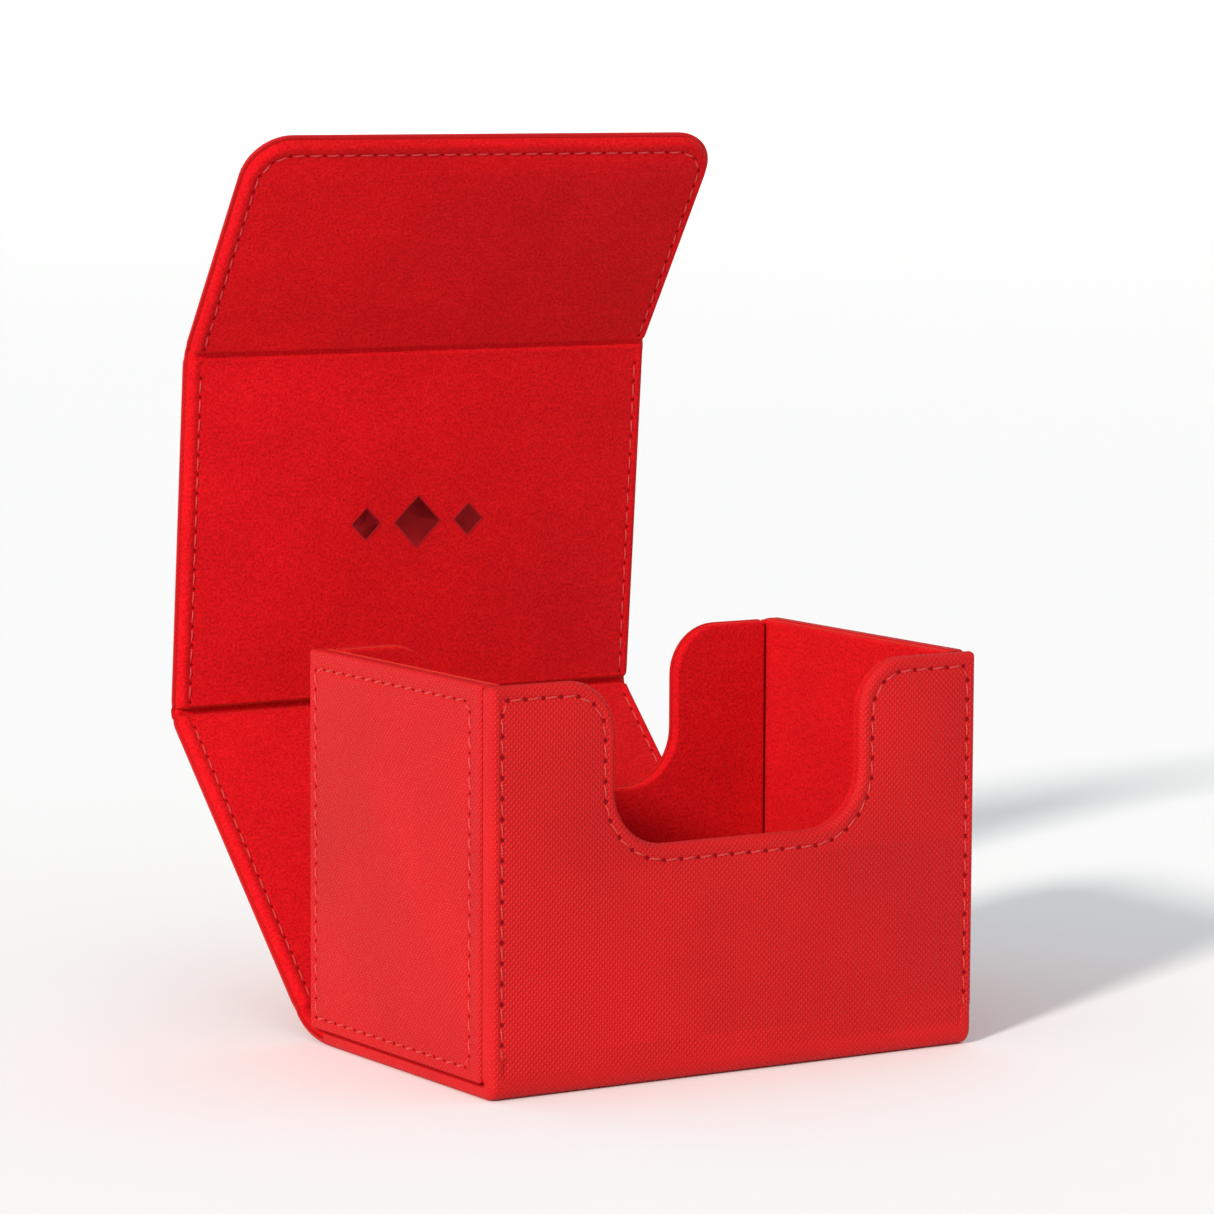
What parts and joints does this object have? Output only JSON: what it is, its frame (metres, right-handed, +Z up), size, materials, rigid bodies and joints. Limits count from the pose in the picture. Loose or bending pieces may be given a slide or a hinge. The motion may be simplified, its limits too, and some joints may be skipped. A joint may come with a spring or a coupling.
{
  "type": "card deck box",
  "caption": "Open-topped card deck box with finger notches front and back and a wrap-around folding lid that closes with magnets over the front wall.",
  "frame": {"origin": "on the table under the middle of the tray: the centre of the tray's width and depth, at the underside of the base", "axes": "+X to the right along the tray's width, +Y from the front wall to the back wall and the lid's hinge, +Z up"},
  "size_m": [0.108, 0.1264, 0.174],
  "materials": {
    "skin": "embossed cross-hatch polyurethane leather",
    "lining": "brushed microfibre suede",
    "board": "rolled greyboard",
    "magnet_steel": "nickel-plated"
  },
  "bodies": {
    "tray": {"base_skin": "skin", "base_board": "board", "floor_board": "board", "floor_lining": "lining", "front_wall_skin": "skin", "front_wall_board": "board", "front_wall_lining": "lining", "front_wall_keeper_left": "magnet_steel", "front_wall_keeper_right": "magnet_steel", "back_wall_skin": "skin", "back_wall_board": "board", "back_wall_lining": "lining", "left_end_skin": "skin", "left_end_board": "board", "left_end_lining": "lining", "right_end_skin": "skin", "right_end_board": "board", "right_end_lining": "lining", "rear_crease_skin": "skin", "rear_crease_lining": "lining"},
    "rear_panel": {"rear_panel_skin": "skin", "rear_panel_board": "board", "rear_panel_lining": "lining", "top_crease_skin": "skin", "top_crease_lining": "lining"},
    "top_panel": {"top_panel_skin": "skin", "top_panel_board": "board", "top_panel_lining": "lining", "flap_crease_skin": "skin", "flap_crease_lining": "lining"},
    "front_flap": {"front_flap_skin": "skin", "front_flap_board": "board", "front_flap_lining": "lining", "front_flap_magnet_left": "magnet_steel", "front_flap_magnet_right": "magnet_steel"}
  },
  "joints": [
    {"name": "rear_hinge", "type": "hinge", "parent": "tray", "child": "rear_panel", "pos_m": [0, 0.0365, 0.002], "axis": [1, 0, 0], "range_deg": [-44.7, 45.3], "deforming": ["rear_crease_skin", "rear_crease_lining"]},
    {"name": "top_hinge", "type": "hinge", "parent": "rear_panel", "child": "top_panel", "pos_m": [0, 0.09155, 0.05598], "axis": [1, 0, 0], "range_deg": [-49.9, 40.1], "deforming": ["top_crease_skin", "top_crease_lining"]},
    {"name": "flap_hinge", "type": "hinge", "parent": "top_panel", "child": "front_flap", "pos_m": [0, 0.08564, 0.12945], "axis": [1, 0, 0], "range_deg": [-28.5, 61.5], "deforming": ["flap_crease_skin", "flap_crease_lining"]}
  ]
}
